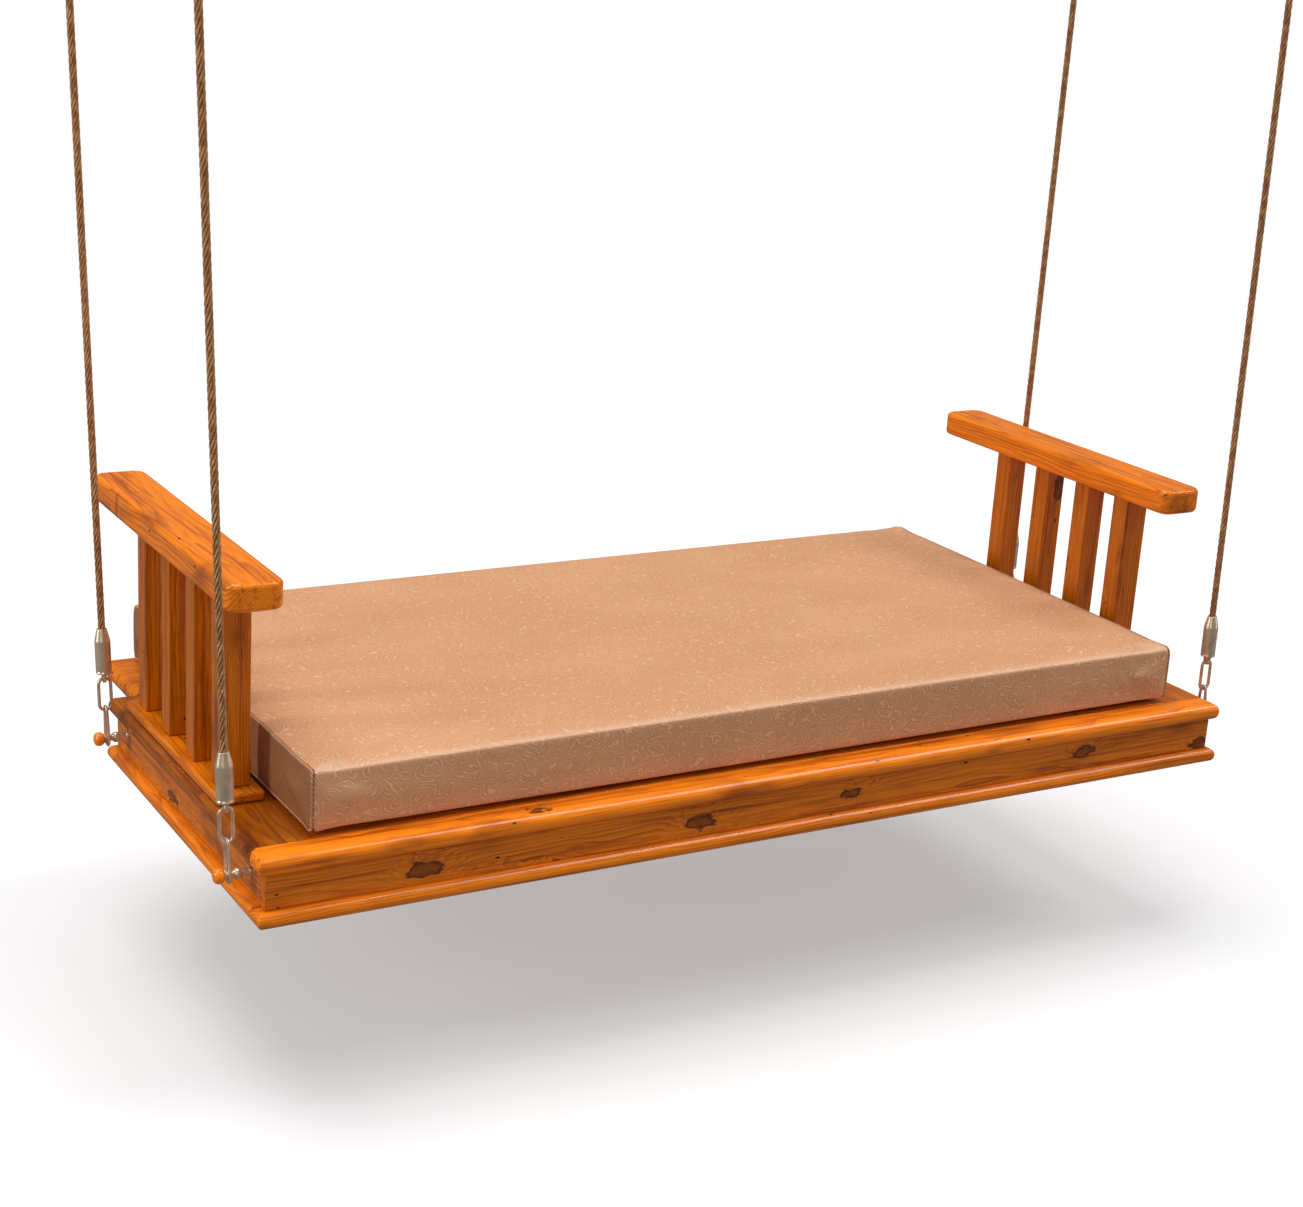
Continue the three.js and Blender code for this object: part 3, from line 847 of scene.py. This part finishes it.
def screw_recess(place):
    """The ring-shaped groove round a countersunk screw's head."""
    rings = []
    for radius, z in ((6.0, -9.0), (5.2, -7.2), (4.6, -7.2), (4.6, -9.0)):
        ring = []
        for j in range(24):
            angle = 2 * math.pi * j / 24
            ring.append(place @ Vector((radius * math.cos(angle), radius * math.sin(angle), z)))
        rings.append(ring)
    points, faces = loft(rings, loop=True)
    return mesh_object("recess", points, faces)


def hangers(rope_look, steel, knob_wood):
    for key in CORNERS:
        body = "rope_line_" + key
        place = hanger_place(key)
        rope, route, length = wire_rope(key, place, rope_look)
        top_foot = hanger_span(key) - 11.5
        flipped = place @ Matrix.Translation((0, 0, top_foot)) @ Matrix.Rotation(math.pi, 4, "X")
        top = ferrule("top_swage_" + key, flipped, 5.5, 11.5, 11.5)
        finished(top, body, steel, "top_ferrule_" + key)
        foot = place @ Matrix.Translation((0, 0, FERRULE_FOOT))
        low = ferrule("swage_" + key, foot, 4.2, 8.2, 9.25)
        finished(low, body, steel, "ferrule_" + key)
        finished(oval_link(key, place), body, steel, "upper_link_" + key)
        finished(eye_link(key, place), body, steel, "lower_link_" + key)
        finished(pin(key), "platform", steel, "pin_" + key)
        obj = knob(key)
        centre = pin_place(key) @ Vector((0, 0, 54))
        grain(obj, "xyz", "knob" + key, tone=1.25, knotty=0.0, centre=centre)
        finished(obj, "platform", knob_wood, "knob_" + key)
        finished(ceiling_plate(key), "ceiling", steel, "ceiling_plate_" + key)


# ---- wood ----
def store(mesh, name, kind, values):
    """Puts a value on every vertex: three numbers for a vector, one for a float."""
    attribute = mesh.attributes.new(name, kind, "POINT")
    attribute.data.foreach_set("vector" if kind == "FLOAT_VECTOR" else "value", values)


def store_look(mesh, places, tone, knotty):
    """Stores each vertex's place in its log, and the tone and share of knots of the whole board."""
    count = len(mesh.vertices)
    store(mesh, "grain", "FLOAT_VECTOR", places)
    store(mesh, "tone", "FLOAT", [tone] * count)
    store(mesh, "knotty", "FLOAT", [knotty] * count)


def extents(mesh):
    """The low and high corners of the box round a mesh, in its own coordinates."""
    spots = [vertex.co for vertex in mesh.vertices]
    low = Vector([min(spot[i] for spot in spots) for i in range(3)])
    high = Vector([max(spot[i] for spot in spots) for i in range(3)])
    return low, high


def pith_offset(seed):
    """A board's place in its log: some way along it, with the pith under its middle."""
    rng = random.Random(seed)
    return Vector((rng.uniform(2, 40), rng.uniform(-0.02, 0.02), rng.uniform(0.025, 0.055)))


def grain(obj, axes, seed, tone=1.0, knotty=0.1, centre=None):
    """Stores where each vertex lies in its own board: axes names the directions along, across and through."""
    if centre is None:
        low, high = extents(obj.data)
        centre = (low + high) / 2
    order = ["xyz".index(axis) for axis in axes]
    shift = pith_offset(seed)
    values = []
    for vertex in obj.data.vertices:
        local = vertex.co - centre
        values.extend(local[order[i]] + shift[i] for i in range(3))
    store_look(obj.data, values, tone, knotty)


def wood_board(node, material, axes, corner=2.0, round_over=1.5, sides="lrfb", cut=(), **look):
    low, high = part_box(node)
    points, faces = board_parts(low, high, corner * MM, round_over * MM, sides)
    obj = mesh_object("wood_" + node, points, faces)
    for cutter in cut:
        combine(obj, cutter, "DIFFERENCE")
    if cut:
        shade(obj, 35)
    grain(obj, axes, node, **look)
    flat_faces_flat(obj)
    return finished(obj, "platform", material, node)


def pin_hole(key):
    return turned("hole", [(5.8, -40.0), (5.8, 20.0)], pin_place(key), sides=32)


def joist_notch(side):
    """A block to cut a joist's notch from the top of the back apron, right through it."""
    x = side * JOIST_X_MM
    low = Vector((x - NOTCH_HALF_MM, NOTCH_FRONT_MM, JOIST_TOP_MM - NOTCH_DEPTH_MM)) * MM
    high = Vector((x + NOTCH_HALF_MM, NOTCH_BACK_MM, JOIST_TOP_MM + 20.0)) * MM
    points, faces = board_parts(low, high, 0.0004, 0.00001, "")
    return mesh_object("notch", points, faces)


def seat_panel(material):
    """Six planks glued edge to edge, each with its edges eased."""
    low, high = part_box("seat_panel")
    points, faces = [], []
    pieces = 6
    pitch = (high.y - low.y) / pieces
    values = []
    for i in range(pieces):
        plank_low = Vector((low.x, low.y + i * pitch + 0.00005, low.z))
        plank_high = Vector((high.x, low.y + (i + 1) * pitch - 0.00005, high.z))
        plank_points, plank_faces = board_parts(plank_low, plank_high, 0.0005, 0.0022, "fb")
        start = len(points)
        points += plank_points
        faces += [tuple(start + index for index in face) for face in plank_faces]
        middle = (plank_low + plank_high) / 2
        for point in plank_points:
            values.extend(Vector(point) - middle + pith_offset(i))
    obj = mesh_object("wood_seat_panel", points, faces)
    store_look(obj.data, values, 0.8, 0.2)
    flat_faces_flat(obj)
    return finished(obj, "platform", material, "seat_panel")


def deck(wood):
    nose = {"corner": 6.0, "round_over": 17.0, "knotty": 0.08}
    wood_board("deck_front", wood, "xyz", sides="lrf", tone=1.2, **nose)
    # The left end board's low tone is partly darker stain and partly painted shade, standing in for the shade
    # the arm and cushion cast on it.
    wood_board("deck_end_l", wood, "yxz", sides="lb", tone=0.50, **nose)
    wood_board("deck_end_r", wood, "yxz", sides="rb", tone=0.75, **nose)
    wood_board("rear_ledge", wood, "xyz", sides="lrb", tone=0.9, **nose)
    seat_panel(wood)


def base(wood):
    apron = {"tone": 0.9, "knotty": 0.5}
    wood_board("apron_front", wood, "xzy", **apron)
    wood_board("apron_back", wood, "xzy", cut=[joist_notch(-1), joist_notch(1)], **apron)
    for key in "lr":
        wood_board("apron_" + key, wood, "yzx", cut=[pin_hole("f" + key), pin_hole("b" + key)], **apron)
        wood_board("joist_" + key, wood, "yxz", tone=0.9)
    nose = {"corner": 6.0, "round_over": 13.85, "knotty": 0.08, "tone": 1.1}
    wood_board("moulding_front", wood, "xyz", sides="lrf", **nose)
    wood_board("moulding_back", wood, "xyz", sides="lrb", **nose)
    wood_board("moulding_l", wood, "yxz", sides="l", **nose)
    wood_board("moulding_r", wood, "yxz", sides="r", **nose)


def armrests(wood):
    for key in "lr":
        wood_board("sill_" + key, wood, "yxz", corner=6.0, round_over=6.0, tone=0.9, knotty=0.0)
        for i in range(1, 5):
            # The slats' low tone is partly their own darker wood and partly painted shade, standing in for
            # the shade between the slats.
            wood_board(f"slat_{key}{i}", wood, "zyx", corner=3.0, round_over=2.2, tone=0.72, knotty=0.06)
        wood_board("arm_board_" + key, wood, "yxz", corner=24.0, round_over=9.0, tone=1.15, knotty=0.0)


# ---- cushion ----
def simulate(obj):
    """Swells the cover with a pressure cloth simulation; no point moves more than CUSHION_SWELL."""
    remesh = obj.modifiers.new("remesh", "REMESH")
    remesh.mode = "VOXEL"
    remesh.voxel_size = CUSHION_VOXEL
    applied(obj)
    cloth = obj.modifiers.new("cloth", "CLOTH")
    cloth.settings.use_pressure = True
    cloth.settings.uniform_pressure_force = CLOTH_PRESSURE
    cloth.settings.effector_weights.gravity = 0.0
    cloth.settings.quality = 4
    cloth.point_cache.frame_start = 1
    cloth.point_cache.frame_end = SIM_FRAMES
    scene = bpy.context.scene
    for step in range(1, SIM_FRAMES + 1):
        scene.frame_set(step)
    graph = bpy.context.evaluated_depsgraph_get()
    swollen = obj.evaluated_get(graph).data.vertices
    spots = []
    for vertex, moved in zip(obj.data.vertices, swollen):
        shift = moved.co - vertex.co
        size = shift.length
        if size > 1e-9:
            shift *= CUSHION_SWELL * math.tanh(size / CUSHION_SWELL) / size
        spots.append(vertex.co + shift)
    obj.modifiers.clear()
    scene.frame_set(1)
    for vertex, spot in zip(obj.data.vertices, spots):
        vertex.co = spot


def fitted(obj, low, high):
    """Stretches the mesh so that it fills the box."""
    least, most = extents(obj.data)
    for vertex in obj.data.vertices:
        for i in range(3):
            vertex.co[i] = low[i] + (vertex.co[i] - least[i]) * (high[i] - low[i]) / (most[i] - least[i])


def cover_panels(mesh):
    """Marks the two end panels, for painted shade, and the four long rounded edges, for a painted highlight,
    from the way the cover faces.
    """
    panel = []
    fold = []
    for vertex in mesh.vertices:
        facing = vertex.normal
        # Painted shade goes on the end panels, where the cover faces along X.
        panel.append(max(0.0, min(1.0, abs(facing.x) * 4.0 - 2.0)))
        # A painted highlight goes on the four long rounded edges, where the cover faces partly along Y and
        # partly along Z.
        fold.append(max(0.0, min(1.0, abs(facing.y * facing.z) * 4.0 - 1.0)))
    store(mesh, "panel", "FLOAT", panel)
    store(mesh, "fold", "FLOAT", fold)


def cushion(cover, trim, thread):
    low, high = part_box("cushion")
    inset = Vector((CUSHION_END_INSET, CUSHION_SWELL, CUSHION_SWELL * 0.5))
    points, faces = board_parts(low + inset, high - inset, CUSHION_CORNER, CUSHION_EDGE, "lrfb")
    obj = mesh_object("box_cushion", points, faces, 180)
    simulate(obj)
    smoother = obj.modifiers.new("fine", "SUBSURF")
    smoother.levels = smoother.render_levels = 1
    applied(obj)
    fitted(obj, low, high)
    cover_panels(obj.data)
    shade(obj, 180)
    finished(obj, "cushion", cover, "cushion")
    spots = [vertex.co for vertex in obj.data.vertices]
    tree = BVHTree.FromPolygons(spots, [tuple(face.vertices) for face in obj.data.polygons])
    for key, side in (("l", -1), ("r", 1)):
        edge = high.x if side > 0 else low.x
        end_welt(key, seam_route(tree, edge - side * 0.001, low, high, WELT_SPACING), trim)
        end_stitches(key, seam_route(tree, edge - side * STITCH_INSET, low, high, STITCH_SPACING), thread)


def seam_route(tree, x, low, high, spacing):
    """Points round one end of the cushion, laid on its cover, with the outward direction at each."""
    flat = outline(low.y, high.y, low.z, high.z, SEAM_CORNER, 8)
    route = []
    for start, end in zip(flat, flat[1:] + flat[:1]):
        start, end = Vector(start), Vector(end)
        steps = max(1, round((end - start).length / spacing))
        for i in range(steps):
            y, z = start.lerp(end, i / steps)
            route.append(tree.find_nearest((x, y, z))[:2])
    return route


def smoothed(spots):
    """The closed row of points, each moved half way to the middle of its neighbours."""
    count = len(spots)
    return [(spots[i - 1] + spots[i] * 2 + spots[(i + 1) % count]) / 4 for i in range(count)]


def end_welt(key, route, trim):
    """The round welt along the seam of an end panel."""
    spots = [spot + normal * 0.0004 for spot, normal in route]
    spots = smoothed(smoothed(spots))
    rings = []
    for i, spot in enumerate(spots):
        along = (spots[(i + 1) % len(spots)] - spots[i - 1]).normalized()
        across = Vector((1.0, 0.0, 0.0))
        out = along.cross(across).normalized()
        ring = []
        for j in range(10):
            angle = 2 * math.pi * j / 10
            ring.append(spot + WELT_R * (math.cos(angle) * across + math.sin(angle) * out))
        rings.append(ring)
    points, faces = loft(rings, loop=True)
    welt = mesh_object("cushion_welt_" + key, points, faces, 180)
    welt.data.materials.append(trim)
    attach(welt, "cushion")


def end_stitches(key, route, thread):
    """A row of short, round-ended stitches beside the welt."""
    points, faces = [], []
    half_stitch = ((0.0027, 0.0002), (0.0023, 0.0004), (0.0015, 0.0006))
    sections = [(-reach, size) for reach, size in half_stitch] + list(reversed(half_stitch))
    for i, (spot, normal) in enumerate(route):
        along = (route[(i + 1) % len(route)][0] - spot).normalized()
        across = along.cross(normal).normalized()
        rings = []
        for reach, size in sections:
            centre = spot + normal * 0.0002 + along * reach
            rings.append([
                centre + size * (math.cos(math.pi * j / 3) * across + math.sin(math.pi * j / 3) * normal)
                for j in range(6)
            ])
        stitch, stitch_faces = loft(rings)
        faces += [tuple(len(points) + index for index in face) for face in stitch_faces]
        points += stitch
    row = mesh_object("cushion_stitches_" + key, points, faces, 180)
    row.data.materials.append(thread)
    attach(row, "cushion")


camera()
studio()
WOOD = wood_material()
hangers(rope_material(), steel_material(), WOOD)
deck(WOOD)
base(WOOD)
armrests(WOOD)
COVER = leatherette_material("leatherette", 1.0)
TRIM = leatherette_material("leatherette_trim", 0.8)
cushion(COVER, TRIM, thread_material())
